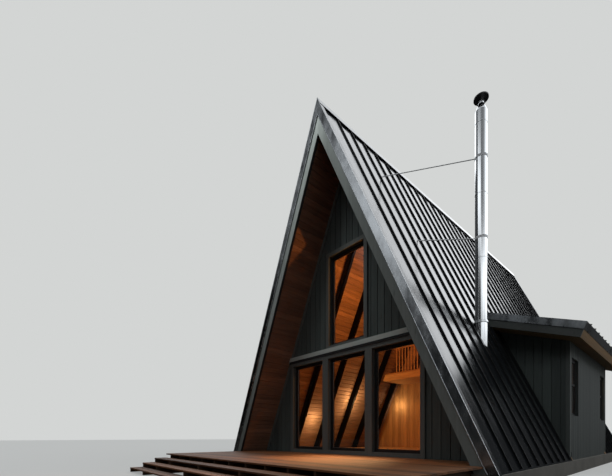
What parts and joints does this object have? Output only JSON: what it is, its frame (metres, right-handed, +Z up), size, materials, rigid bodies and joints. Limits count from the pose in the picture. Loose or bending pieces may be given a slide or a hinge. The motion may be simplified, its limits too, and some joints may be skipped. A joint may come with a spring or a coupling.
{
  "type": "a-frame cabin",
  "caption": "Steep A-frame cabin with a standing-seam metal roof, glazed front gable under a deep overhang, side wing, steel flue and a stepped timber deck.",
  "frame": {"origin": "on the ground under the ridge, half way along the main roof, on the underside of the foundation slab", "axes": "+Z up; the glazed front gable and the deck look towards -Y; the side wing and the flue are on the +X side"},
  "size_m": [7.9415, 15.67, 8.5428],
  "materials": {
    "roof_metal": "charcoal standing-seam sheet, satin paint",
    "painted_trim": "grey-green painted timber",
    "painted_boards": "grey-green painted vertical boards",
    "cedar_lining": "oiled tongue-and-groove cedar",
    "roof_core": "sheathing and rafters, seen only at cut edges",
    "inner_timber": "oiled boards",
    "dark_rafters": "black stained timber",
    "black_frames": "black satin paint",
    "window_glass": "clear double glazing",
    "flue_steel": "polished stainless steel",
    "flue_black": "black heat-proof paint",
    "deck_wood": "reddish weathered cedar",
    "deck_timber": "treated framing timber",
    "concrete": "cast concrete with a broomed face"
  },
  "bodies": {
    "root": {"metal_roof_left": "roof_metal", "metal_roof_right": "roof_metal", "wing_metal_roof": "roof_metal", "ridge_cap": "roof_metal", "rake_trims": "roof_metal", "wing_trims": "roof_metal", "wing_flashing": "roof_metal", "rake_boards": "painted_trim", "wing_boards": "painted_trim", "front_posts": "painted_trim", "belly_bands": "painted_trim", "soffit_trims": "painted_trim", "front_window_casings": "painted_trim", "rear_window_casings": "painted_trim", "front_wall_upper": "painted_boards", "front_wall_lower": "painted_boards", "rear_wall": "painted_boards", "wing_end_walls": "painted_boards", "wing_side_wall": "painted_boards", "lining": "cedar_lining", "roof_left": "roof_core", "roof_right_upper": "roof_core", "roof_right_lower": "roof_core", "wing_roof": "roof_core", "floor": "inner_timber", "loft_floor": "inner_timber", "loft_railing": "inner_timber", "partition": "inner_timber", "rafters_left": "dark_rafters", "rafters_right": "dark_rafters", "front_window_frames": "black_frames", "rear_window_frames": "black_frames", "wing_window_frames": "black_frames", "front_window_glass": "window_glass", "rear_window_glass": "window_glass", "wing_window_glass": "window_glass", "flue_pipe": "flue_steel", "flue_flashing": "flue_steel", "flue_stays": "flue_steel", "flue_cap": "flue_black", "deck_boards": "deck_wood", "step_treads": "deck_wood", "deck_joists": "deck_timber", "deck_beams": "deck_timber", "step_stringers": "deck_timber", "foundation_slab": "concrete", "footings": "concrete"}
  },
  "joints": []
}
